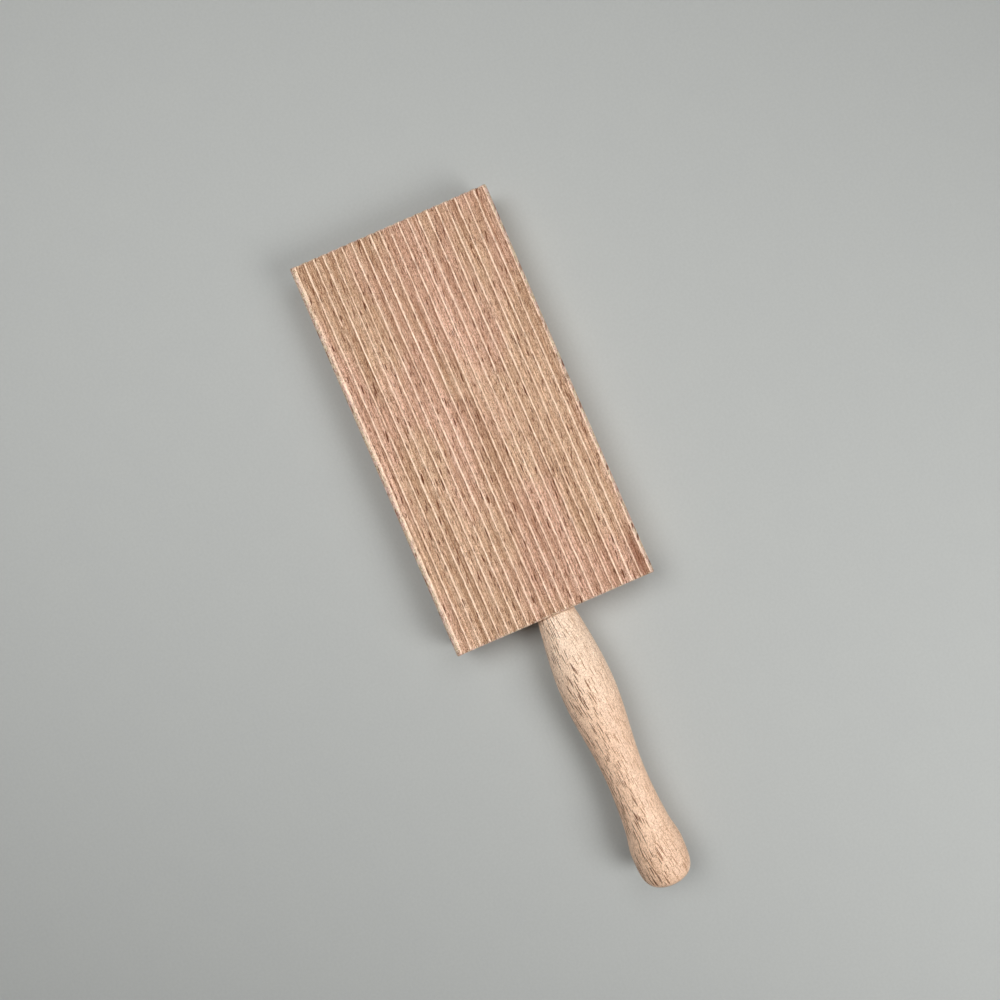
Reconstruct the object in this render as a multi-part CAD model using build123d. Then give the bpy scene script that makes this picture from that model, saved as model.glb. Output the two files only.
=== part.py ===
from build123d import *
import os

# Gnocchi board: a beech board ridged on its upper face, with a turned handle pinned and glued to one end.
# Lengths are in millimetres. X runs along the board and out through the handle, Y runs across the board
# and Z points up out of the ridged face. The origin is the centre of the board's flat back.

# Board
board_length = 158.0
board_width = 80.0
board_thickness = 16.0
long_edge_chamfer = 0.8
back_edge_radius = 1.0
end_edge_chamfer = 0.5

# Ridged face: grooves along the whole board, with a narrow flat crest left between each two.
# A groove has two flat flanks, which would meet at groove_depth before the valley between them is rounded.
groove_count = 20
groove_width = 3.33
groove_depth = 1.27
crest_width = 0.5
grooves_off_centre = 0.3
valley_off_centre = -0.27
valley_radius = 0.25

# Handle: a turned profile with a neck, a palm swell, a waist, a knob and a rounded end
handle_length = 110.2
neck_radius = 7.4
swell_radius = 10.65
waist_radius = 7.8
flank_radius = 8.8
knob_radius = 10.35
knob_end_length = 12.5
neck_edge_chamfer = 0.4

# Places of the swell, the waist and the knob's flank, as shares of the handle's length
swell_share = 0.2875
waist_share = 0.6225
flank_share = 0.796

# Rise of the profile per unit of length at the neck and on the knob's flank
neck_slope_share = 0.15
flank_slope_share = 0.1

# How far the control points reach along a span, and how square the rounded end is
span_reach_share = 1 / 3
end_fullness_share = 0.94

# Joint: a fluted dowel pin, half in the board and half in the handle, set in glue
pin_radius = 4.0
pin_length = 40.0
pin_end_chamfer = 1.0
flute_count = 24
flute_radius = 0.35
flute_depth = 0.3
pin_clearance = 0.1
pocket_depth = 1.0
glue_line = 0.1
glue_inset = 0.6

# Cuts run past the surface by this much
overrun = 2.0

# Worked out from the sizes above
handle_axis_height = board_thickness / 2
groove_pitch = groove_width + crest_width
board_end = board_length / 2
handle_start = board_end + glue_line
joint_middle = board_end + glue_line / 2
pin_hole_radius = pin_radius + pin_clearance
pin_reach = pin_length / 2 + pocket_depth


def along_x(radius, length, middle):
    """A round bar about the handle's axis, with its middle at this X."""
    bar = Cylinder(radius, length, rotation=(0, 90, 0))
    return Pos(middle, 0, handle_axis_height) * bar


def board_blank():
    """The planed board, with its edges eased, before it is grooved or bored."""
    section = Rectangle(board_width, board_thickness, align=(Align.CENTER, Align.MIN))
    corners = section.vertices().group_by(Axis.Y)
    section = chamfer(corners[-1], long_edge_chamfer)
    corners = section.vertices().group_by(Axis.Y)
    section = fillet(corners[0], back_edge_radius)
    blank = extrude(Plane.YZ * section, board_length / 2, both=True)
    ends = blank.faces().sort_by(Axis.X)
    end_edges = ends[0].edges() + ends[-1].edges()
    return chamfer(end_edges, end_edge_chamfer)


def groove_section():
    """One groove across the board, with its middle at zero: two rims, the valley, and open above the face."""
    half = groove_width / 2
    above = board_thickness + overrun
    outline = Polyline(
        (-half, above),
        (-half, board_thickness),
        (valley_off_centre, board_thickness - groove_depth),
        (half, board_thickness),
        (half, above),
        close=True,
    )
    section = make_face(outline)
    valley = section.vertices().sort_by(Axis.Y)[0]
    return fillet(valley, valley_radius)


def groove_cutters():
    """One long bar for each groove, side by side across the face."""
    first = grooves_off_centre - (groove_count - 1) * groove_pitch / 2
    bar = extrude(Plane.YZ * groove_section(), board_length / 2 + overrun, both=True)
    return [Pos(0, first + n * groove_pitch, 0) * bar for n in range(groove_count)]


def pin_hole():
    """The blind holes for the pin, one in the board and one in the handle, as one bar."""
    return along_x(pin_hole_radius, 2 * pin_reach + glue_line, joint_middle)


def ridged_board():
    return board_blank() - groove_cutters() - pin_hole()


def span(start, end):
    """A smooth curve between two stations of the profile, each given as (place, radius, slope)."""
    reach = (end[0] - start[0]) * span_reach_share
    return Bezier(
        (start[0], start[1]),
        (start[0] + reach, start[1] + reach * start[2]),
        (end[0] - reach, end[1] - reach * end[2]),
        (end[0], end[1]),
    )


def handle_profile():
    """Half the handle's outline, from the neck at zero to the end, above the turning axis."""
    knob_place = handle_length - knob_end_length
    stations = [
        (0, neck_radius, neck_slope_share),
        (handle_length * swell_share, swell_radius, 0),
        (handle_length * waist_share, waist_radius, 0),
        (handle_length * flank_share, flank_radius, flank_slope_share),
        (knob_place, knob_radius, 0),
    ]
    spans = [span(start, end) for start, end in zip(stations, stations[1:])]
    rounded_end = Bezier(
        (knob_place, knob_radius),
        (knob_place + knob_end_length * end_fullness_share, knob_radius),
        (handle_length, knob_radius * end_fullness_share),
        (handle_length, 0),
    )
    axis_line = Line((handle_length, 0), (0, 0))
    neck_face = Line((0, 0), (0, neck_radius))
    return make_face(Curve() + spans + rounded_end + axis_line + neck_face)


def turned_handle():
    turned = revolve(handle_profile(), Axis.X)
    neck_rim = turned.faces().sort_by(Axis.X)[0].edges()
    turned = chamfer(neck_rim, neck_edge_chamfer)
    return Pos(handle_start, 0, handle_axis_height) * turned - pin_hole()


def dowel_pin():
    """A straight pin with chamfered ends and shallow flutes that let the glue run."""
    pin = Cylinder(pin_radius, pin_length)
    pin = chamfer(pin.edges().filter_by(GeomType.CIRCLE), pin_end_chamfer)
    flute_place = pin_radius - flute_depth + flute_radius
    flute = Cylinder(flute_radius, pin_length + 2 * overrun)
    pin -= [place * flute for place in PolarLocations(flute_place, flute_count)]
    return Pos(joint_middle, 0, handle_axis_height) * Rot(0, 90, 0) * pin


def glue_film():
    """The cured glue: a sleeve round the pin that fills its flutes, and a thin disc under the neck."""
    sleeve = along_x(pin_hole_radius, pin_length, joint_middle)
    disc = along_x(neck_radius - glue_inset, glue_line, joint_middle)
    return sleeve + disc - dowel_pin()


os.makedirs("parts", exist_ok=True)
export_step(ridged_board(), "parts/ridged_board.step")
export_step(turned_handle(), "parts/turned_handle.step")
export_step(dowel_pin(), "parts/dowel_pin.step")
export_step(glue_film(), "parts/glue_film.step")
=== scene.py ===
import bpy
import bmesh
import math
import numpy as np
from mathutils import Matrix, Vector


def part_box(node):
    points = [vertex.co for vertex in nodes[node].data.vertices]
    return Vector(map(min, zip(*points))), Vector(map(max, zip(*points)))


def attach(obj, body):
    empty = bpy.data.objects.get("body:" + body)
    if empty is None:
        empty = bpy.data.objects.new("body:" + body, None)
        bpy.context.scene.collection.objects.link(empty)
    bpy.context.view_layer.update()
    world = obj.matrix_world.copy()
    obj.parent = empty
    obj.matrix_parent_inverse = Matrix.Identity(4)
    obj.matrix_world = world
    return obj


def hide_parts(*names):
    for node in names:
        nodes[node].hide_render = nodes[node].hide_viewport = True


# A gnocchi board of beech, ridged face up on a pale floor, seen from straight above.
# Lengths are in metres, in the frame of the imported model. MM is one millimetre.

MM = 0.001
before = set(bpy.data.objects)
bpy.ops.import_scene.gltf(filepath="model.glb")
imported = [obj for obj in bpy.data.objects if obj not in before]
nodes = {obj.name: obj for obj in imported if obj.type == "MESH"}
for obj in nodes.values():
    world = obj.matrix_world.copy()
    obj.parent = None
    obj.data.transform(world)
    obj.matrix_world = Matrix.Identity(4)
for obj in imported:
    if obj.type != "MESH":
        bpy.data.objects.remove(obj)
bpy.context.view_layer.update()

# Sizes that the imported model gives
board_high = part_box("ridged_board")[1]
handle_low, handle_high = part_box("turned_handle")
BOARD_HALF_LENGTH = board_high.x
BOARD_HALF_WIDTH = board_high.y
BOARD_THICKNESS = board_high.z
HANDLE_START = handle_low.x
HANDLE_LENGTH = handle_high.x - handle_low.x
AXIS_HEIGHT = BOARD_THICKNESS / 2
SWELL_RADIUS = handle_high.y

# The ridged face: two flanks to a groove, which meet in a rounded valley
GROOVE_COUNT = 20
GROOVE_WIDTH = 3.33 * MM
GROOVE_DEPTH = 1.27 * MM
CREST_WIDTH = 0.5 * MM
GROOVES_OFF_CENTRE = 0.3 * MM
VALLEY_OFF_CENTRE = -0.27 * MM
VALLEY_RADIUS = 0.25 * MM
GROOVE_PITCH = GROOVE_WIDTH + CREST_WIDTH

# The board's eased edges
LONG_EDGE_CHAMFER = 0.8 * MM
CHAMFER_BULGE = 0.06 * MM
BACK_EDGE_RADIUS = 1.0 * MM
END_EASE = 0.5 * MM
END_EASE_POWER = 1.5

# The handle's turned profile. Shares are of its length, and slopes are a rise per unit of length
NECK_RADIUS = 7.4 * MM
WAIST_RADIUS = 7.8 * MM
FLANK_RADIUS = 8.8 * MM
KNOB_RADIUS = 10.35 * MM
KNOB_END_LENGTH = 12.5 * MM
NECK_EDGE_CHAMFER = 0.4 * MM
SWELL_SHARE = 0.2875
WAIST_SHARE = 0.6225
FLANK_SHARE = 0.796
NECK_SLOPE = 0.15
FLANK_SLOPE = 0.1
END_FULLNESS_SHARE = 0.94

# The blind holes for the pin
PIN_HOLE_RADIUS = 4.1 * MM
PIN_HOLE_DEPTH = 21.0 * MM

# How finely round and long forms are divided. An end zone is the stretch of board that has its own places
STATION_STEP = 0.75 * MM
END_ZONE = 1.5 * MM
HOLE_SIDES = 48
HANDLE_SIDES = 120
SPAN_STEPS = 28
ROUNDED_END_STEPS = 40
EDGE_STEPS = 5

# The crests' eased rims and their waver to the sides, and how long each kind of waver is
CREST_EASE = 0.07 * MM
CREST_DROP = 0.05 * MM
EASED_DROP_SHARE = 0.2
CREST_SWAY = 0.06 * MM
SWAY_LENGTH = 8 * MM
CREST_WAVER = 0.07 * MM
WAVER_LENGTH = 1.9 * MM
WIDTH_WAVER = 0.07 * MM
WIDTH_WAVER_LENGTH = 2.4 * MM

# Small nicks in the crests
CHIPS_PER_CREST = 1.5
CHIP_LENGTHS = (0.6 * MM, 2.0 * MM)
CHIP_DEPTHS = (0.05 * MM, 0.3 * MM)

# How clean the sanding has left a surface, from 0 for a raw groove to 1 for a crest
LAND_SANDED = 0.77
CHAMFER_SANDED = 0.76
RIM_SANDED = 0.85
RIM_REACH = 0.75 * MM
CHIP_FULLY_WORN = 0.5 * MM
CHIP_MOST_WORN = 0.35

# Seeds of the random draws
SWAY_SEED = 100
WAVER_SEED = 200
WIDTH_SEED = 300
CHIP_SEED = 21


# Mesh helpers

SHARP_ANGLE = math.radians(38)
MERGE_DISTANCE = 0.001 * MM


def smooth_step(low, high, x):
    t = np.clip((x - low) / (high - low), 0, 1)
    return t * t * (3 - 2 * t)


def wander(places, wavelength, seed):
    """A smooth random line along the board: a value from about -1 to 1 at each place."""
    rng = np.random.default_rng(seed)
    span = places.max() - places.min()
    knots = rng.uniform(-1, 1, int(span / wavelength) + 4)
    at = (places - places.min()) / wavelength
    low = np.floor(at).astype(int)
    part = smooth_step(0, 1, at - low)
    return knots[low] * (1 - part) + knots[low + 1] * part


def circle(place, radius, sides):
    """Points round the handle's axis at this X."""
    turns = [2 * math.pi * side / sides for side in range(sides)]
    return [(place, radius * math.cos(turn), AXIS_HEIGHT + radius * math.sin(turn)) for turn in turns]


def tube_faces(rows, around, first=0):
    """Faces between closed rows of points, from the point with this number on."""
    faces = []
    for row in range(rows - 1):
        start = first + row * around
        for step in range(around):
            a = start + step
            b = start + (step + 1) % around
            faces.append((a, b, b + around, a + around))
    return faces


def add_to_scene(name, data):
    obj = bpy.data.objects.new(name, data)
    bpy.context.scene.collection.objects.link(obj)
    return obj


def object_from(name, points, faces):
    mesh = bpy.data.meshes.new(name)
    mesh.from_pydata([tuple(p) for p in points], [], faces)
    mesh.update()
    return add_to_scene(name, mesh)


def close_ends(obj):
    """Fills the flat ends round any hole's mouth in them, and sets smooth faces and sharp edges."""
    bm = bmesh.new()
    bm.from_mesh(obj.data)
    bmesh.ops.remove_doubles(bm, verts=bm.verts, dist=MERGE_DISTANCE)
    ends = {}
    for edge in bm.edges:
        if len(edge.link_faces) == 1:
            ends.setdefault(round(edge.verts[0].co.x, 5), []).append(edge)
    for edges in ends.values():
        bmesh.ops.triangle_fill(bm, edges=edges, use_beauty=True)
    bmesh.ops.recalc_face_normals(bm, faces=bm.faces)
    for face in bm.faces:
        face.smooth = True
    for edge in bm.edges:
        if len(edge.link_faces) == 2:
            edge.smooth = edge.calc_face_angle() < SHARP_ANGLE
    bm.to_mesh(obj.data)
    bm.free()


def blind_hole(mouth, depth, first):
    """A pin hole's wall and bottom, from its mouth at this X. First is the number of its first point."""
    level_shares = (0.0, 0.5, 1.0)
    points = []
    for share in level_shares:
        points += circle(mouth + depth * share, PIN_HOLE_RADIUS, HOLE_SIDES)
    faces = tube_faces(len(level_shares), HOLE_SIDES, first)
    bottom = first + (len(level_shares) - 1) * HOLE_SIDES
    faces.append(tuple(range(bottom, bottom + HOLE_SIDES)))
    return points, faces


# The board: one cross-section, lofted along X, with crests that wander and chip a little

def groove_line():
    """One groove from its left rim to its right rim: (across, down, distance from the nearer rim)."""
    half = GROOVE_WIDTH / 2
    left_angle = math.atan2(GROOVE_DEPTH, half + VALLEY_OFF_CENTRE)
    right_angle = math.atan2(GROOVE_DEPTH, half - VALLEY_OFF_CENTRE)
    rounding = VALLEY_RADIUS * math.tan((left_angle + right_angle) / 2)
    left_length = GROOVE_DEPTH / math.sin(left_angle) - rounding
    right_length = GROOVE_DEPTH / math.sin(right_angle) - rounding
    flank_shares = (0, 0.1, 0.28, 0.6, 0.85)
    valley_shares = (0, 0.33, 0.67, 1)
    line = []
    for share in flank_shares:
        run = left_length * share
        line.append((-half + run * math.cos(left_angle), run * math.sin(left_angle), run))
    centre_across = -half + left_length * math.cos(left_angle) + VALLEY_RADIUS * math.sin(left_angle)
    centre_down = left_length * math.sin(left_angle) - VALLEY_RADIUS * math.cos(left_angle)
    for share in valley_shares:
        angle = left_angle - (left_angle + right_angle) * share
        across = centre_across - VALLEY_RADIUS * math.sin(angle)
        down = centre_down + VALLEY_RADIUS * math.cos(angle)
        line.append((across, down, left_length))
    for share in reversed(flank_shares):
        run = right_length * share
        line.append((half - run * math.cos(right_angle), run * math.sin(right_angle), run))
    return line


def chamfer_points(side):
    """One long edge's chamfer, bulged a little, from the side face up to the top."""
    chamfer_shares = (0.0, 0.15, 0.5, 0.85, 1.0)
    points = []
    for share in chamfer_shares:
        bulge = CHAMFER_BULGE * math.sin(math.pi * share)
        y = BOARD_HALF_WIDTH - LONG_EDGE_CHAMFER * share + bulge
        z = BOARD_THICKNESS - LONG_EDGE_CHAMFER * (1 - share) + bulge
        points.append((side * min(y, BOARD_HALF_WIDTH), min(z, BOARD_THICKNESS), CHAMFER_SANDED))
    return points


def land_points(start, end):
    """The narrow flat between a long edge and the outermost groove."""
    land_shares = (0.33, 0.66)
    return [(start + (end - start) * share, BOARD_THICKNESS, LAND_SANDED) for share in land_shares]


def ridged_points():
    """The grooves and the crests between them, from the first crest's rim to the last one's."""
    rim_top = BOARD_THICKNESS - CREST_DROP * EASED_DROP_SHARE
    first = GROOVES_OFF_CENTRE - (GROOVE_COUNT - 1) * GROOVE_PITCH / 2
    points = [(first - GROOVE_WIDTH / 2 - CREST_EASE, rim_top, 1, 0, 1)]
    for number in range(GROOVE_COUNT):
        centre = first + number * GROOVE_PITCH
        for across, down, run in groove_line():
            crest = number if across < VALLEY_OFF_CENTRE else number + 1
            near_rim = max(0.0, 1 - run / RIM_REACH)
            drop = CREST_DROP if run == 0 else 0
            z = BOARD_THICKNESS - down - drop
            points.append((centre + across, z, RIM_SANDED * near_rim, crest, near_rim))
        left = centre + GROOVE_WIDTH / 2
        points.append((left + CREST_EASE, rim_top, 1, number + 1, 1))
        if number < GROOVE_COUNT - 1:
            points.append((left + CREST_WIDTH / 2, BOARD_THICKNESS, 1, number + 1, 1))
            points.append((left + CREST_WIDTH - CREST_EASE, rim_top, 1, number + 1, 1))
    return points


def section_points():
    """The cross-section, from the left side over the ridged face to the right side and back below.
    A row is (y, z, sanded, crest number or -1, how far it follows that crest)."""
    half = BOARD_HALF_WIDTH
    side_height = BOARD_THICKNESS - BACK_EDGE_RADIUS - LONG_EDGE_CHAMFER
    side_shares = (0.35, 0.65)
    back_shares = (0.75, 0.5, 0.25)
    ridged = ridged_points()
    left_land_end = ridged[0][0] + CREST_EASE
    right_land_start = ridged[-1][0] - CREST_EASE
    plain = []
    for share in side_shares:
        plain.append((-half, BACK_EDGE_RADIUS + side_height * share, 1.0))
    plain += chamfer_points(-1)
    plain += land_points(-half + LONG_EDGE_CHAMFER, left_land_end)
    before = len(plain)
    plain += land_points(right_land_start, half - LONG_EDGE_CHAMFER)
    plain += reversed(chamfer_points(1))
    for share in reversed(side_shares):
        plain.append((half, BACK_EDGE_RADIUS + side_height * share, 1.0))
    inset = BACK_EDGE_RADIUS
    for step in range(EDGE_STEPS + 1):
        angle = math.pi / 2 * step / EDGE_STEPS
        plain.append((half - inset + inset * math.cos(angle), inset - inset * math.sin(angle), 1.0))
    for share in back_shares:
        plain.append(((2 * share - 1) * (half - inset), 0, 1.0))
    for step in range(EDGE_STEPS + 1):
        angle = math.pi / 2 * (1 - step / EDGE_STEPS)
        plain.append((-half + inset - inset * math.cos(angle), inset - inset * math.sin(angle), 1.0))
    plain = [(*point, -1, 0.0) for point in plain]
    return np.array(plain[:before] + ridged + plain[before:])


def station_places():
    """Places along X: close together at the eased ends, even between them."""
    near_end = np.array([0, 0.05, 0.13, 0.26, 0.5, 0.9]) * MM
    reach = BOARD_HALF_LENGTH - END_ZONE
    inner = np.linspace(-reach, reach, int(2 * reach / STATION_STEP))
    return np.concatenate([near_end - BOARD_HALF_LENGTH, inner, (BOARD_HALF_LENGTH - near_end)[::-1]])


def chips(places):
    """Small nicks in the crests: how far each crest is lowered at each place."""
    rng = np.random.default_rng(CHIP_SEED)
    lowered = np.zeros((GROOVE_COUNT + 1, len(places)))
    for crest in range(GROOVE_COUNT + 1):
        for _ in range(rng.poisson(CHIPS_PER_CREST)):
            middle = rng.uniform(-BOARD_HALF_LENGTH, BOARD_HALF_LENGTH)
            length = rng.uniform(*CHIP_LENGTHS)
            depth = rng.uniform(*CHIP_DEPTHS)
            lowered[crest] += depth * np.exp(-((places - middle) / length) ** 2)
    return lowered


def make_board():
    section = section_points()
    places = station_places()
    y0, z0, sanded, crest, follow = section.T
    on_crest = crest >= 0
    crest = np.where(on_crest, crest, 0).astype(int)
    crests = range(GROOVE_COUNT + 1)
    sway = np.array([CREST_SWAY * wander(places, SWAY_LENGTH, SWAY_SEED + n)
                     + CREST_WAVER * wander(places, WAVER_LENGTH, WAVER_SEED + n) for n in crests])
    width = np.array([WIDTH_WAVER * wander(places, WIDTH_WAVER_LENGTH, WIDTH_SEED + n) for n in crests])
    lowered = chips(places)
    first_middle = GROOVES_OFF_CENTRE - GROOVE_COUNT * GROOVE_PITCH / 2
    side = np.clip((y0 - first_middle - crest * GROOVE_PITCH) / (CREST_WIDTH / 2), -1, 1)
    points, white = [], []
    for number, place in enumerate(places):
        shift = follow * (sway[crest, number] + side * width[crest, number])
        nick = lowered[crest, number]
        y = y0 + np.where(on_crest, shift, 0)
        z = z0 - np.where(on_crest, follow * nick, 0)
        from_end = BOARD_HALF_LENGTH - abs(place)
        inset = END_EASE * max(0.0, 1 - from_end / END_EASE) ** END_EASE_POWER
        y = np.clip(y, -BOARD_HALF_WIDTH + inset, BOARD_HALF_WIDTH - inset)
        z = np.clip(z, inset, BOARD_THICKNESS - inset)
        points += [(place, a, b) for a, b in zip(y, z)]
        worn = np.where(on_crest, np.clip(nick / CHIP_FULLY_WORN, 0, CHIP_MOST_WORN), 0)
        white += list(sanded * (1 - worn))
    faces = tube_faces(len(places), len(section))
    hole, hole_faces = blind_hole(BOARD_HALF_LENGTH, -PIN_HOLE_DEPTH, len(points))
    points += hole
    faces += hole_faces
    white += [1.0] * len(hole)
    board = object_from("board_body", points, faces)
    layer = board.data.attributes.new("sanded", "FLOAT", "POINT")
    layer.data.foreach_set("value", np.asarray(white, np.float32))
    close_ends(board)
    return board


# The handle: a turned profile of smooth spans, revolved about its axis

def bezier(controls, count):
    """Points on a cubic curve, from its first control point up to just before its last."""
    t = np.linspace(0, 1, count + 1)[:-1, None]
    p = np.array(controls, float)
    return (1 - t) ** 3 * p[0] + 3 * t * (1 - t) ** 2 * p[1] + 3 * t**2 * (1 - t) * p[2] + t**3 * p[3]


def span(start, end):
    """A smooth curve between two stations of the profile, each given as (place, radius, slope)."""
    reach = (end[0] - start[0]) / 3
    controls = [
        (start[0], start[1]),
        (start[0] + reach, start[1] + reach * start[2]),
        (end[0] - reach, end[1] - reach * end[2]),
        (end[0], end[1]),
    ]
    return bezier(controls, SPAN_STEPS)


def handle_profile():
    """(place along the handle, radius) from the neck to just before the tip."""
    knob_place = HANDLE_LENGTH - KNOB_END_LENGTH
    stations = [
        (0, NECK_RADIUS, NECK_SLOPE),
        (HANDLE_LENGTH * SWELL_SHARE, SWELL_RADIUS, 0),
        (HANDLE_LENGTH * WAIST_SHARE, WAIST_RADIUS, 0),
        (HANDLE_LENGTH * FLANK_SHARE, FLANK_RADIUS, FLANK_SLOPE),
        (knob_place, KNOB_RADIUS, 0),
    ]
    rounded_end = [
        (knob_place, KNOB_RADIUS),
        (knob_place + KNOB_END_LENGTH * END_FULLNESS_SHARE, KNOB_RADIUS),
        (HANDLE_LENGTH, KNOB_RADIUS * END_FULLNESS_SHARE),
        (HANDLE_LENGTH, 0),
    ]
    parts = [span(start, end) for start, end in zip(stations, stations[1:])]
    parts.append(bezier(rounded_end, ROUNDED_END_STEPS))
    profile = np.concatenate(parts)
    profile = profile[profile[:, 0] > NECK_EDGE_CHAMFER]
    # The neck's eased edge: how far along and how far over the neck's radius, as shares of its chamfer
    neck_shares = np.array([(0, -1), (0.4, -0.5), (1, 0.1)])
    neck = (0, NECK_RADIUS) + NECK_EDGE_CHAMFER * neck_shares
    return np.concatenate([neck, profile])


def make_handle():
    profile = handle_profile()
    points = []
    for place, radius in profile:
        points += circle(HANDLE_START + place, radius, HANDLE_SIDES)
    faces = tube_faces(len(profile), HANDLE_SIDES)
    last = len(points) - HANDLE_SIDES
    tip = len(points)
    points.append((HANDLE_START + HANDLE_LENGTH, 0, AXIS_HEIGHT))
    for step in range(HANDLE_SIDES):
        faces.append((last + step, last + (step + 1) % HANDLE_SIDES, tip))
    hole, hole_faces = blind_hole(HANDLE_START, PIN_HOLE_DEPTH, len(points))
    points += hole
    faces += hole_faces
    handle = object_from("handle_body", points, faces)
    close_ends(handle)
    return handle


# Colours, each channel given as 0 to 255

def srgb(*channels):
    """A colour given as 0 to 255 for red, green and blue, as linear values."""
    linear = [c / 255 / 12.92 if c <= 10 else ((c / 255 + 0.055) / 1.055) ** 2.4 for c in channels]
    return (*linear, 1.0)


GROOVE_PINK = srgb(212, 173, 149)
GROOVE_TAN = srgb(209, 175, 146)
CREST_PINK = srgb(252, 220, 195)
CREST_TAN = srgb(252, 222, 195)
EDGE_PINK = srgb(206, 172, 158)
EDGE_TAN = srgb(208, 188, 160)
STAIN_BROWN = srgb(134, 78, 50)
RAY_BROWN = srgb(106, 58, 26)
BOARD_FLECK = srgb(176, 132, 104)
HANDLE_PALE = srgb(250, 222, 196)
HANDLE_WARM = srgb(244, 207, 177)
HANDLE_FLECK = srgb(196, 152, 122)
END_FIBRE = srgb(220, 182, 152)
END_PORE = srgb(170, 128, 98)
END_RING = srgb(162, 118, 90)
END_RAY = srgb(228, 196, 168)
PIN_PALE = srgb(236, 204, 172)
PIN_BROWN = srgb(212, 172, 138)
PIN_RAY = srgb(140, 100, 74)
GLUE_PALE = srgb(226, 212, 170)
GLUE_YELLOW = srgb(206, 186, 136)
FLOOR_DARK = srgb(183, 185, 183)
FLOOR_LIGHT = srgb(186, 188, 185)
FLOOR_SPECK = srgb(160, 162, 158)
BACKDROP = srgb(187, 188, 186)


# Materials: a small set of helpers that wire shader nodes

class Shader:
    """The nodes of one material or world, made by calls that each return an output socket."""

    def __init__(self, owner, output="ShaderNodeOutputMaterial"):
        owner.use_nodes = True
        self.owner = owner
        self.output = output
        self.tree = owner.node_tree
        self.tree.nodes.clear()

    def node(self, kind, **settings):
        made = self.tree.nodes.new(kind)
        for key, value in settings.items():
            setattr(made, key, value)
        return made

    def put(self, socket, value):
        if isinstance(value, bpy.types.NodeSocket):
            self.tree.links.new(value, socket)
        else:
            socket.default_value = value

    def math(self, operation, *values):
        made = self.node("ShaderNodeMath", operation=operation)
        for socket, value in zip(made.inputs, values):
            self.put(socket, value)
        return made.outputs[0]

    def chain(self, operation, values):
        """All the values joined by one operation, from the left."""
        total = values[0]
        for value in values[1:]:
            total = self.math(operation, total, value)
        return total

    def add(self, *values):
        return self.chain("ADD", values)

    def times(self, *values):
        return self.chain("MULTIPLY", values)

    def larger(self, *values):
        return self.chain("MAXIMUM", values)

    def smaller(self, *values):
        return self.chain("MINIMUM", values)

    def less(self, value, taken):
        return self.math("SUBTRACT", value, taken)

    def over(self, value, divisor):
        return self.math("DIVIDE", value, divisor)

    def power(self, value, exponent):
        return self.math("POWER", value, exponent)

    def unsigned(self, value):
        return self.math("ABSOLUTE", value)

    def opposite(self, share):
        """What a share leaves of the whole."""
        return self.less(1.0, share)

    def swing(self, value, amount):
        """A noise value turned into a change about zero."""
        return self.times(self.less(value, 0.5), amount)

    def distance(self, across, up):
        """How far away a point is that lies this far across and this far up."""
        return self.math("SQRT", self.add(self.times(across, across), self.times(up, up)))

    def vector(self, operation, a, b):
        made = self.node("ShaderNodeVectorMath", operation=operation)
        self.put(made.inputs[0], a)
        self.put(made.inputs[1], b)
        return made.outputs["Value"] if operation == "DOT_PRODUCT" else made.outputs[0]

    def moved(self, vector, by):
        return self.vector("ADD", vector, by)

    def split(self, vector):
        made = self.node("ShaderNodeSeparateXYZ")
        self.put(made.inputs[0], vector)
        return made.outputs

    def joined(self, x, y, z):
        made = self.node("ShaderNodeCombineXYZ")
        for socket, value in zip(made.inputs, (x, y, z)):
            self.put(socket, value)
        return made.outputs[0]

    def noise(self, vector, waves, detail=2.0, roughness=0.6):
        """Smooth noise, mostly from 0.3 to 0.7. Waves are per unit of length along each axis."""
        made = self.node("ShaderNodeTexNoise")
        self.put(made.inputs["Vector"], self.vector("MULTIPLY", vector, waves))
        made.inputs["Scale"].default_value = 1.0
        made.inputs["Detail"].default_value = detail
        made.inputs["Roughness"].default_value = roughness
        return made.outputs["Fac"]

    def cells(self, vector, waves):
        """How far a point is from its cell's middle, and three random values of that cell."""
        made = self.node("ShaderNodeTexVoronoi", voronoi_dimensions="2D")
        self.put(made.inputs["Vector"], self.vector("MULTIPLY", vector, waves))
        made.inputs["Scale"].default_value = 1.0
        return made.outputs["Distance"], *self.split(made.outputs["Color"])

    def ramp(self, value, low, high, out_low=0.0, out_high=1.0, smooth=True):
        made = self.node("ShaderNodeMapRange", interpolation_type="SMOOTHSTEP" if smooth else "LINEAR")
        for socket, given in zip(made.inputs, (value, low, high, out_low, out_high)):
            self.put(socket, given)
        return made.outputs[0]

    def mix(self, share, a, b):
        made = self.node("ShaderNodeMix", data_type="RGBA")
        self.put(made.inputs[0], share)
        self.put(made.inputs[6], a)
        self.put(made.inputs[7], b)
        return made.outputs[2]

    def shade(self, colour, factor):
        """The colour made darker or lighter by a factor, as in wood: a darker part is also browner."""
        factor = self.larger(factor, 0.05)
        dark = self.smaller(factor, 1.0)
        green = self.times(self.power(factor, 1.2), self.power(dark, 0.22))
        blue = self.times(self.power(factor, 1.4), self.power(dark, 0.4))
        return self.vector("MULTIPLY", colour, self.joined(factor, green, blue))

    def attribute(self, name):
        return self.node("ShaderNodeAttribute", attribute_name=name).outputs["Fac"]

    def coordinate(self, kind):
        return self.node("ShaderNodeTexCoord").outputs[kind]

    def millimetres(self):
        """The place on the piece, in millimetres."""
        return self.vector("MULTIPLY", self.coordinate("Object"), (1 / MM, 1 / MM, 1 / MM))

    def shown_rays(self):
        """One for a ray that shows this to the camera, straight, as a reflection or through glass."""
        path = self.node("ShaderNodeLightPath").outputs
        return self.larger(path["Is Camera Ray"], path["Is Glossy Ray"], path["Is Transmission Ray"])

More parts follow.
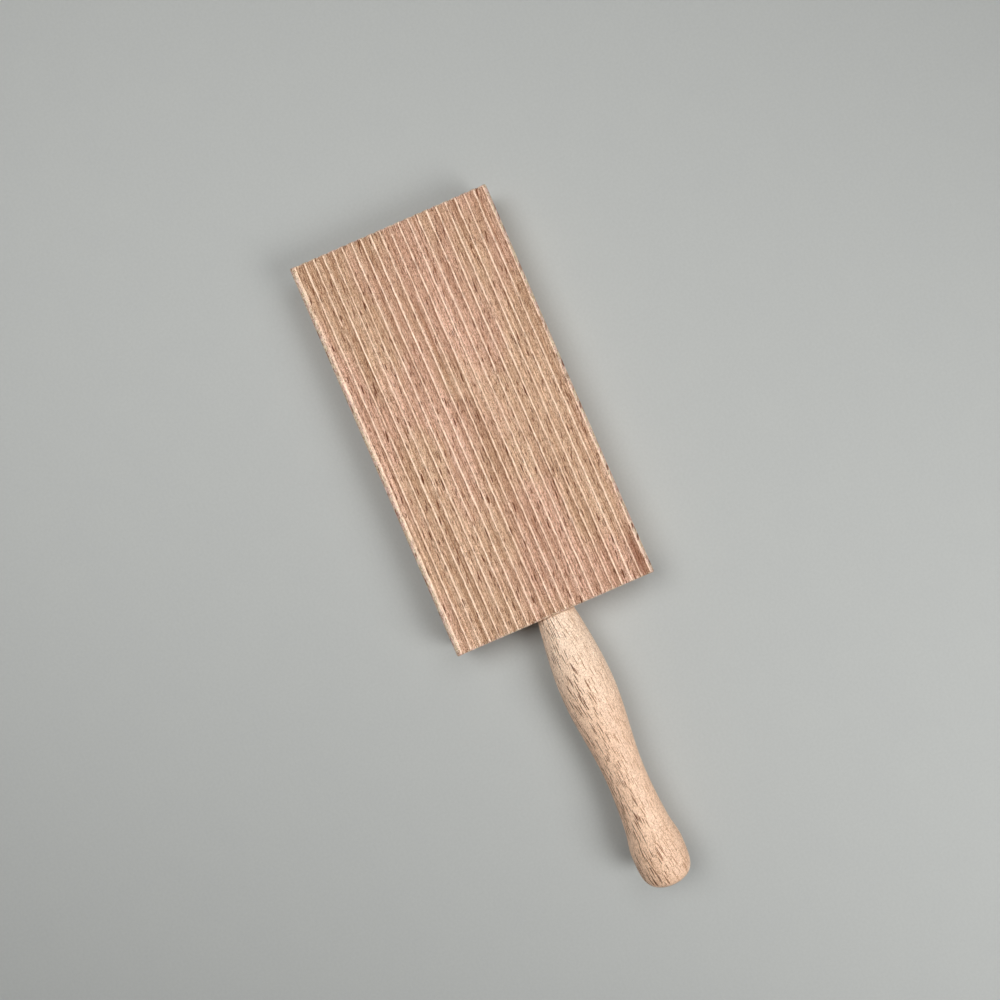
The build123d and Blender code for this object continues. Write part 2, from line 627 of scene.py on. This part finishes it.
    def surface(self, colour, roughness, height, bump, strength, specular):
        """A plain surface with small relief. Bump is the relief's height, in metres."""
        relief = self.node("ShaderNodeBump")
        relief.inputs["Strength"].default_value = strength
        relief.inputs["Distance"].default_value = bump
        self.put(relief.inputs["Height"], height)
        shader = self.node("ShaderNodeBsdfPrincipled")
        self.put(shader.inputs["Base Color"], colour)
        self.put(shader.inputs["Roughness"], roughness)
        shader.inputs["Specular IOR Level"].default_value = specular
        self.put(shader.inputs["Normal"], relief.outputs[0])
        return shader.outputs[0]

    def done(self, shader):
        self.put(self.node(self.output).inputs[0], shader)
        return self.owner


# Rays stand in staggered rows, and each kind's pattern is moved by its seed times these shifts
RAY_STAGGER_SHARE = 0.62
RAY_SHIFT_ALONG = 13.7
RAY_SHIFT_ACROSS = 7.3

# The cells that hold a fleck, in millimetres
FLECK_LENGTH = 5.5
FLECK_SPACING = 1.6


class Wood(Shader):
    """The material of one piece of beech. It knows where a point lies, in millimetres: spot is where on
    the piece, and place is where in the tree, along the grain, round the rings and out from the pith."""

    def __init__(self, name, turn=0.0, lean=0.0, wobble=0.35):
        """Turn is about the long axis and lean is the slant of the grain, both in radians."""
        super().__init__(bpy.data.materials.new(name))
        self.facing = self.coordinate("Normal")
        self.spot = self.millimetres()
        turned = self.node("ShaderNodeVectorRotate", rotation_type="EULER_XYZ")
        self.put(turned.inputs["Vector"], self.spot)
        turned.inputs["Rotation"].default_value = (turn, 0, -lean)
        straight = turned.outputs[0]
        drift = self.noise(straight, (0.03, 0.12, 0.2), roughness=0.5)
        ripple = self.noise(self.moved(straight, (31, 17, 5)), (0.12, 0.35, 0.5), roughness=0.5)
        shift = self.add(self.swing(drift, wobble * 4), self.swing(ripple, wobble * 1.4))
        self.place = self.moved(straight, self.joined(0.0, shift, shift))

    def grain(self, waves, offset=(0, 0, 0), detail=2.0, roughness=0.6):
        """Noise in the tree. Waves are per millimetre, in the same three directions as place."""
        return self.noise(self.moved(self.place, offset), waves, detail, roughness)

    def rings(self, pith, ring, seed):
        """Bands that follow the growth rings. Pith is how far it lies below the piece, and ring is how
        wide one ring is, both in millimetres."""
        x, y, z = self.split(self.place)
        out = self.distance(y, self.add(z, pith))
        line = self.joined(self.over(out, ring), self.times(x, 0.005), seed)
        return self.noise(line, (1.0, 1.0, 1.0), detail=3.0)

    def rays(self, where, length, spacing, size, present, seed):
        """Beech rays as dark spindles along the grain, from 0 to 1. Length and spacing are a cell's, in
        millimetres. Size is a share of the cell, and present is the share of cells that hold one."""
        x, y, _ = self.split(self.moved(where, (seed * RAY_SHIFT_ALONG, seed * RAY_SHIFT_ACROSS, 0)))
        row_shift = self.times(y, RAY_STAGGER_SHARE * length / spacing)
        staggered = self.joined(self.add(x, row_shift), y, 0.0)
        distance, chance, width, strength = self.cells(staggered, (1 / length, 1 / spacing, 1))
        reach = self.times(self.add(width, 0.7), size)
        inside = self.ramp(self.over(distance, reach), 1.0, 0.6)
        held = self.ramp(chance, 1 - present, 1 - present + 0.08)
        return self.times(inside, held, self.add(self.times(strength, 0.6), 0.4))

    def flecks(self):
        """Rays seen flat on a face that runs out from the pith: short pale-brown flecks."""
        x, _, z = self.split(self.place)
        waves = (1 / FLECK_LENGTH, 1 / FLECK_SPACING, 1)
        distance, chance, width, strength = self.cells(self.joined(x, z, 0.0), waves)
        reach = self.times(self.add(width, 0.5), 0.3)
        inside = self.ramp(self.over(distance, reach), 1.0, 0.5)
        return self.times(inside, self.ramp(chance, 0.4, 0.6), strength)

    def end_grain(self, band):
        """The darker look of cut fibre ends, with rings, rays and pores."""
        pores = self.grain((0.1, 3.4, 3.4), detail=3.0, roughness=0.7)
        rays = self.grain((0.05, 2.6, 0.16))
        colour = self.mix(self.ramp(pores, 0.4, 0.65), END_FIBRE, END_PORE)
        colour = self.mix(self.ramp(band, 0.48, 0.62, 0.0, 0.5), colour, END_RING)
        return self.mix(self.ramp(rays, 0.52, 0.66, 0.0, 0.5), colour, END_RAY)

    def along(self):
        """How far the surface faces along X, from 0 to 1."""
        return self.unsigned(self.split(self.facing)[0])


# The board's material: brown cut grooves between pale sanded crests

def board_grain(wood, band, streak):
    """Lines, strips and streaks along the whole board, as a change about zero."""
    line = wood.swing(wood.grain((0.012, 1.4, 1.4)), 1.3)
    strip = wood.swing(wood.grain((0.008, 0.3, 0.1), roughness=0.5), 0.5)
    return wood.add(line, strip, wood.swing(band, 0.3), wood.swing(streak, 1.2))


def cut_and_sanded(wood, clean, grain):
    """The raw wood of the grooves, darker towards the far end, and the pale wood that was sanded clean."""
    cloud = wood.ramp(wood.grain((0.02, 0.05, 0.05), roughness=0.5), 0.4, 0.6)
    x = wood.split(wood.place)[0]
    far_end = wood.add(wood.ramp(x, -30.0, -79.0, 0.0, -0.08), wood.ramp(x, -77.0, -79.0, 0.0, -0.12))
    groove = wood.shade(wood.mix(cloud, GROOVE_PINK, GROOVE_TAN), wood.add(1.0, grain, far_end))
    crest = wood.shade(wood.mix(cloud, CREST_PINK, CREST_TAN), wood.add(1.0, wood.times(grain, 0.35)))
    return wood.mix(clean, groove, crest)


def painted_groove_shade(wood, sanded, clean, right_flank):
    """How much darker the grooves are painted as shade: most on the right flanks, which face away from the
    light, a little at the left rims and in the valleys.
    """
    height = wood.split(wood.spot)[2]
    near_rim = wood.times(wood.ramp(sanded, 0.02, 0.3), wood.opposite(clean))
    uneven = wood.grain((0.16, 0.7, 0.7), offset=(9, 2, 4))
    rim = wood.times(near_rim, wood.ramp(uneven, 0.35, 0.65, 0.0, 0.3))
    low_flank = wood.ramp(height, 15.35, 14.95, 0.02, 0.12)
    valley = wood.ramp(height, 14.95, 14.8, 0.0, 0.05)
    left_rim = wood.times(near_rim, wood.opposite(right_flank), 0.07)
    return wood.add(valley, left_rim, wood.times(right_flank, wood.add(rim, low_flank)))


def with_eased_edges(wood, colour, edge_noise):
    """Greyer wood on the eased edges of the upper face, where it has been handled."""
    off_centre = 0.15
    x, y, z = wood.split(wood.spot)
    past_side = wood.less(wood.unsigned(wood.less(y, off_centre)), BOARD_HALF_WIDTH / MM)
    past_end = wood.less(wood.unsigned(x), BOARD_HALF_LENGTH / MM)
    eased = wood.larger(wood.ramp(past_side, -1.55, -0.95), wood.ramp(past_end, -0.9, -0.3, 0.0, 0.9))
    eased = wood.times(eased, wood.ramp(z, 14.7, 15.2))
    blotch = wood.grain((0.45, 0.9, 0.9), offset=(2, 5, 8))
    edge = wood.mix(wood.ramp(blotch, 0.4, 0.6), EDGE_PINK, EDGE_TAN)
    edge = wood.shade(edge, wood.add(1.0, wood.swing(edge_noise, 0.9)))
    return wood.mix(eased, colour, edge)


def with_stain(wood, colour, streak, clean):
    """One long brown stain in the last grooves by the handle's end."""
    middle_x = 71.0
    middle_y = 36.2
    half_length = 15.0
    half_width = 3.1
    x, y, _ = wood.split(wood.place)
    along = wood.over(wood.less(x, middle_x), half_length)
    across = wood.over(wood.less(y, middle_y), half_width)
    away = wood.add(wood.distance(along, across), wood.swing(streak, 2.2))
    paler_crests = wood.opposite(wood.times(clean, 0.75))
    patchy = wood.ramp(streak, 0.4, 0.58, 0.35, 1.0)
    stain = wood.times(wood.ramp(away, 1.1, 0.3, 0.0, 0.95), paler_crests, patchy)
    return wood.mix(stain, colour, STAIN_BROWN)


def board_marks(wood, clean, up_facing):
    """Rays of three lengths over the face, and larger specks along its right edge."""
    long_rays = wood.rays(wood.place, length=8.0, spacing=1.5, size=0.17, present=0.3, seed=1)
    short_rays = wood.rays(wood.place, length=5.0, spacing=0.9, size=0.19, present=0.4, seed=2)
    fine_rays = wood.rays(wood.place, length=3.2, spacing=0.6, size=0.22, present=0.55, seed=3)
    specks = wood.rays(wood.place, length=5.0, spacing=2.4, size=0.22, present=0.5, seed=4)
    rays = wood.larger(long_rays, wood.times(short_rays, 0.8), wood.times(fine_rays, 0.65))
    rays = wood.times(wood.ramp(rays, 0.0, 0.8), wood.opposite(wood.times(clean, 0.5)))
    specks = wood.times(specks, wood.ramp(wood.split(wood.spot)[1], 38.7, 39.2))
    return wood.times(wood.larger(rays, specks), wood.ramp(up_facing, 0.1, 0.5))


def board_material():
    wood = Wood("board_beech", lean=0.004)
    sanded = wood.attribute("sanded")
    band = wood.rings(pith=70, ring=2.0, seed=0.0)
    streak = wood.grain((0.05, 3.6, 3.6), offset=(3, 8, 1))
    fibre = wood.grain((0.5, 5.0, 5.0))
    fuzz = wood.grain((2.2, 6.0, 6.0), offset=(7, 3, 9), detail=1.0, roughness=0.5)
    edge_noise = wood.grain((0.5, 1.4, 1.4))
    right_flank = wood.ramp(wood.split(wood.facing)[1], -0.1, -0.4)
    up_facing = wood.unsigned(wood.split(wood.facing)[2])

    ragged = wood.add(sanded, wood.swing(edge_noise, 0.45), wood.swing(fuzz, 0.2))
    # Less of the pale sanded wood on the right flanks, which face away from the light: painted shade.
    clean = wood.ramp(wood.add(ragged, wood.times(right_flank, -0.22)), 0.64, 0.84)
    colour = cut_and_sanded(wood, clean, board_grain(wood, band, streak))
    # Painted shade in the grooves, darkest on the right flanks, which face away from the light.
    colour = wood.shade(colour, wood.opposite(painted_groove_shade(wood, sanded, clean, right_flank)))
    colour = with_eased_edges(wood, colour, edge_noise)
    colour = with_stain(wood, colour, streak, clean)
    marks = board_marks(wood, clean, up_facing)
    colour = wood.mix(marks, colour, RAY_BROWN)
    flecks = wood.times(wood.flecks(), wood.ramp(up_facing, 0.3, 0.05))
    colour = wood.mix(wood.times(flecks, 0.6), colour, BOARD_FLECK)

    fine = wood.smaller(wood.add(wood.swing(fibre, 2.0), wood.swing(fuzz, 3.9)), 0.3)
    rough_cut = wood.opposite(wood.times(clean, 0.55))
    colour = wood.shade(colour, wood.add(1.045, wood.times(fine, rough_cut)))
    colour = wood.mix(wood.ramp(wood.along(), 0.6, 0.97), colour, wood.end_grain(band))

    height = wood.add(wood.times(streak, 0.5), wood.times(fibre, 0.6), wood.times(fuzz, 0.4))
    height = wood.less(height, wood.times(marks, 0.5))
    dry = wood.add(wood.times(streak, 0.6), wood.times(clean, 0.4))
    roughness = wood.ramp(dry, 0.2, 0.9, 0.55, 0.8, smooth=False)
    return wood.done(wood.surface(colour, roughness, height, bump=0.15 * MM, strength=0.7, specular=0.3))


# The handle's material: pale turned wood with long thin rays, which are densest on its left side, the side
# that faces away from the light, where they also serve as painted shade

def handle_marks(wood, end):
    """Rays laid out on the handle's skin, with a slow twist about its axis."""
    typical_radius = 9.0
    twist = -0.16
    x, y, z = wood.split(wood.spot)
    angle = wood.math("ARCTAN2", y, wood.less(z, AXIS_HEIGHT / MM))
    waver = wood.noise(wood.spot, (0.03, 0.08, 0.08), roughness=0.5)
    arc = wood.add(wood.times(angle, typical_radius), wood.times(x, twist), wood.swing(waver, 3.0))
    skin = wood.joined(x, arc, 0.0)
    long_rays = wood.rays(skin, length=10.0, spacing=0.8, size=0.19, present=0.72, seed=5)
    short_rays = wood.rays(skin, length=6.5, spacing=0.7, size=0.19, present=0.6, seed=6)
    rays = wood.larger(long_rays, wood.times(short_rays, 0.8))
    # Rays are made denser on the left side, which faces away from the light: partly the wood's own rays,
    # partly painted shade.
    left_rays_and_painted_shade = wood.ramp(angle, 0.5, -0.9, 0.35, 2.2)
    return wood.smaller(wood.times(wood.ramp(rays, 0.0, 0.7), left_rays_and_painted_shade, wood.opposite(end)), 1.0)


def handle_material():
    turn = math.radians(-55)
    wood = Wood("handle_beech", turn=turn, lean=math.radians(9))
    band = wood.rings(pith=34, ring=2.4, seed=3.0)
    line = wood.grain((0.03, 1.4, 1.4))
    streak = wood.grain((0.12, 2.4, 2.4), offset=(3, 8, 1))
    fibre = wood.grain((0.7, 4.5, 4.5))
    fuzz = wood.grain((1.6, 5.5, 5.5), offset=(5, 11, 2), detail=1.0, roughness=0.5)
    end = wood.ramp(wood.along(), 0.4, 0.95)

    x = wood.split(wood.spot)[0]
    colour = wood.mix(wood.ramp(x, 85.0, 130.0), HANDLE_PALE, HANDLE_WARM)
    grain = wood.add(wood.swing(band, 0.25), wood.swing(line, 0.4), wood.swing(streak, 0.3))
    pores = wood.ramp(fibre, 0.5, 0.72, 0.0, -0.3)
    fine = wood.smaller(wood.add(wood.swing(fibre, 1.2), wood.swing(fuzz, 2.0)), 0.2)
    darker_knob = wood.ramp(x, 165.0, 180.0, 0.0, -0.06)
    colour = wood.shade(colour, wood.add(1.04, grain, pores, fine, darker_knob))

    marks = handle_marks(wood, end)
    colour = wood.shade(colour, wood.opposite(wood.times(marks, 0.85)))
    outward = wood.unsigned(wood.vector("DOT_PRODUCT", wood.facing, (0.0, math.sin(turn), math.cos(turn))))
    flecks = wood.times(wood.flecks(), wood.ramp(outward, 0.35, 0.1))
    colour = wood.mix(wood.times(flecks, 0.4), colour, HANDLE_FLECK)
    colour = wood.mix(wood.times(end, 0.8), colour, wood.end_grain(band))

    height = wood.add(wood.times(streak, 0.5), wood.times(fibre, 0.5), wood.times(fuzz, 0.4))
    height = wood.less(height, marks)
    roughness = wood.add(wood.ramp(streak, 0.2, 0.9, 0.42, 0.6, smooth=False), wood.times(marks, 0.3))
    return wood.done(wood.surface(colour, roughness, height, bump=0.12 * MM, strength=0.6, specular=0.5))


def pin_material():
    wood = Wood("pin_beech", turn=0.6, wobble=0.2)
    streak = wood.grain((0.08, 2.4, 2.4), detail=3.0)
    speckle = wood.grain((1.1, 2.6, 2.6), roughness=0.7)
    marks = wood.rays(wood.place, length=5.0, spacing=0.7, size=0.22, present=0.5, seed=9)
    colour = wood.mix(wood.ramp(streak, 0.35, 0.7), PIN_PALE, PIN_BROWN)
    colour = wood.mix(wood.times(marks, 0.6), colour, PIN_RAY)
    colour = wood.shade(colour, wood.add(1.0, wood.swing(speckle, 0.3)))
    height = wood.add(streak, wood.times(speckle, 0.4))
    roughness = wood.ramp(streak, 0.2, 0.9, 0.55, 0.75, smooth=False)
    return wood.done(wood.surface(colour, roughness, height, bump=0.1 * MM, strength=0.4, specular=0.35))


def glue_material():
    glue = Shader(bpy.data.materials.new("cured_glue"))
    cloud = glue.noise(glue.millimetres(), (0.4, 0.4, 0.4), detail=3.0)
    grain = glue.noise(glue.millimetres(), (1.5, 5.0, 5.0))
    colour = glue.mix(glue.ramp(cloud, 0.35, 0.65), GLUE_PALE, GLUE_YELLOW)
    colour = glue.shade(colour, glue.add(1.0, glue.swing(grain, 0.2)))
    height = glue.add(cloud, glue.times(grain, 0.5))
    roughness = glue.ramp(cloud, 0.2, 0.8, 0.28, 0.5, smooth=False)
    return glue.done(glue.surface(colour, roughness, height, bump=0.08 * MM, strength=0.3, specular=0.5))


# The floor is painted near the part. Further off it is seen as the backdrop's plain colour
FADE_MIDDLE = 0.112
FADE_START = 0.3
FADE_END = 0.6


def floor_material():
    floor = Shader(bpy.data.materials.new("floor_paint"))
    spot = floor.coordinate("Object")
    mottle = floor.noise(spot, (60, 60, 60), detail=3.0)
    speckle = floor.noise(spot, (900, 900, 900))
    colour = floor.mix(mottle, FLOOR_DARK, FLOOR_LIGHT)
    colour = floor.mix(floor.ramp(speckle, 0.3, 0.7, 0.0, 0.12), colour, FLOOR_SPECK)
    height = floor.add(mottle, speckle)
    paint = floor.surface(colour, 0.85, height, bump=0.05 * MM, strength=0.2, specular=0.2)
    x, y, _ = floor.split(spot)
    far_off = floor.ramp(floor.distance(floor.less(x, FADE_MIDDLE), y), FADE_START, FADE_END)
    glow = floor.node("ShaderNodeEmission")
    glow.inputs["Color"].default_value = BACKDROP
    mixed = floor.node("ShaderNodeMixShader")
    floor.put(mixed.inputs[0], floor.times(floor.shown_rays(), far_off))
    floor.put(mixed.inputs[1], paint)
    floor.put(mixed.inputs[2], glow.outputs[0])
    return floor.done(mixed.outputs[0])


def dress(obj, material):
    obj.data.materials.clear()
    obj.data.materials.append(material)


board = make_board()
dress(board, board_material())
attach(board, "root")
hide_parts("ridged_board")

handle = make_handle()
dress(handle, handle_material())
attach(handle, "root")
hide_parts("turned_handle")

dress(nodes["dowel_pin"], pin_material())
dress(nodes["glue_film"], glue_material())


# Floor, light and camera

FLOOR_HALF = 3.0
WORLD_STRENGTH = 0.04

# Round soft lights, each with its place and its power in watts. All look at one point of the part
LIGHT_SIZE = 0.36
LIGHT_TARGET = Vector((0.055, 0, 0))
LIGHTS = {
    "key_softbox": ((0.355, 0.3, 0.424), 2.06),
    "opposite_softbox": ((-0.157, -0.212, 0.52), 1.91),
    "fill_softbox": ((-0.157, 0.212, 0.52), 0.77),
}

# The camera's pose comes from the board's four corners in the photograph, which looks straight down
CAMERA_PLACE = Vector((33.69 * MM, -1.11 * MM, 296.1 * MM))
CAMERA_RIGHT = Vector((0.3986, 0.9171, -0.00624))
CAMERA_FORWARD = Vector((-0.00716, -0.00369, -0.99997))
FOCAL_PIXELS = 752
PICTURE_PIXELS = 1000
SENSOR_WIDTH = 36.0


def make_floor():
    """A pale floor under the far edge of the board and the handle's swell, where the part rests."""
    far = Vector((-BOARD_HALF_LENGTH + END_EASE, 0, 0))
    swell = Vector((HANDLE_START + HANDLE_LENGTH * SWELL_SHARE, 0, AXIS_HEIGHT - SWELL_RADIUS))
    half = FLOOR_HALF
    corners = [(-half, -half, 0), (half, -half, 0), (half, half, 0), (-half, half, 0)]
    floor = object_from("floor", corners, [(0, 1, 2, 3)])
    dress(floor, floor_material())
    floor.rotation_euler = (0, math.atan2(far.z - swell.z, swell.x - far.x), 0)
    floor.location = far


def make_light(name, place, power):
    data = bpy.data.lights.new(name, "AREA")
    data.shape = "DISK"
    data.size = LIGHT_SIZE
    data.energy = power
    lamp = add_to_scene(name, data)
    lamp.location = place
    lamp.rotation_euler = (LIGHT_TARGET - Vector(place)).to_track_quat("-Z", "Y").to_euler()


def make_world():
    """A faint even light all round, which is seen as the pale backdrop."""
    studio = Shader(bpy.data.worlds.new("studio"), "ShaderNodeOutputWorld")
    background = studio.node("ShaderNodeBackground")
    background.inputs["Color"].default_value = BACKDROP
    studio.put(background.inputs["Strength"], studio.larger(studio.shown_rays(), WORLD_STRENGTH))
    bpy.context.scene.world = studio.done(background.outputs[0])


def make_camera():
    data = bpy.data.cameras.new("camera")
    data.sensor_width = SENSOR_WIDTH
    data.lens = SENSOR_WIDTH * FOCAL_PIXELS / PICTURE_PIXELS
    data.clip_start = 0.01
    data.clip_end = 20.0
    camera = add_to_scene("camera", data)
    forward = CAMERA_FORWARD.normalized()
    up = CAMERA_RIGHT.normalized().cross(forward).normalized()
    right = forward.cross(up)
    turned = Matrix((right, up, -forward)).transposed().to_4x4()
    camera.matrix_world = Matrix.Translation(CAMERA_PLACE) @ turned
    bpy.context.scene.camera = camera


make_floor()
make_world()
for name, (place, power) in LIGHTS.items():
    make_light(name, place, power)
make_camera()
bpy.context.scene.view_settings.view_transform = "Standard"
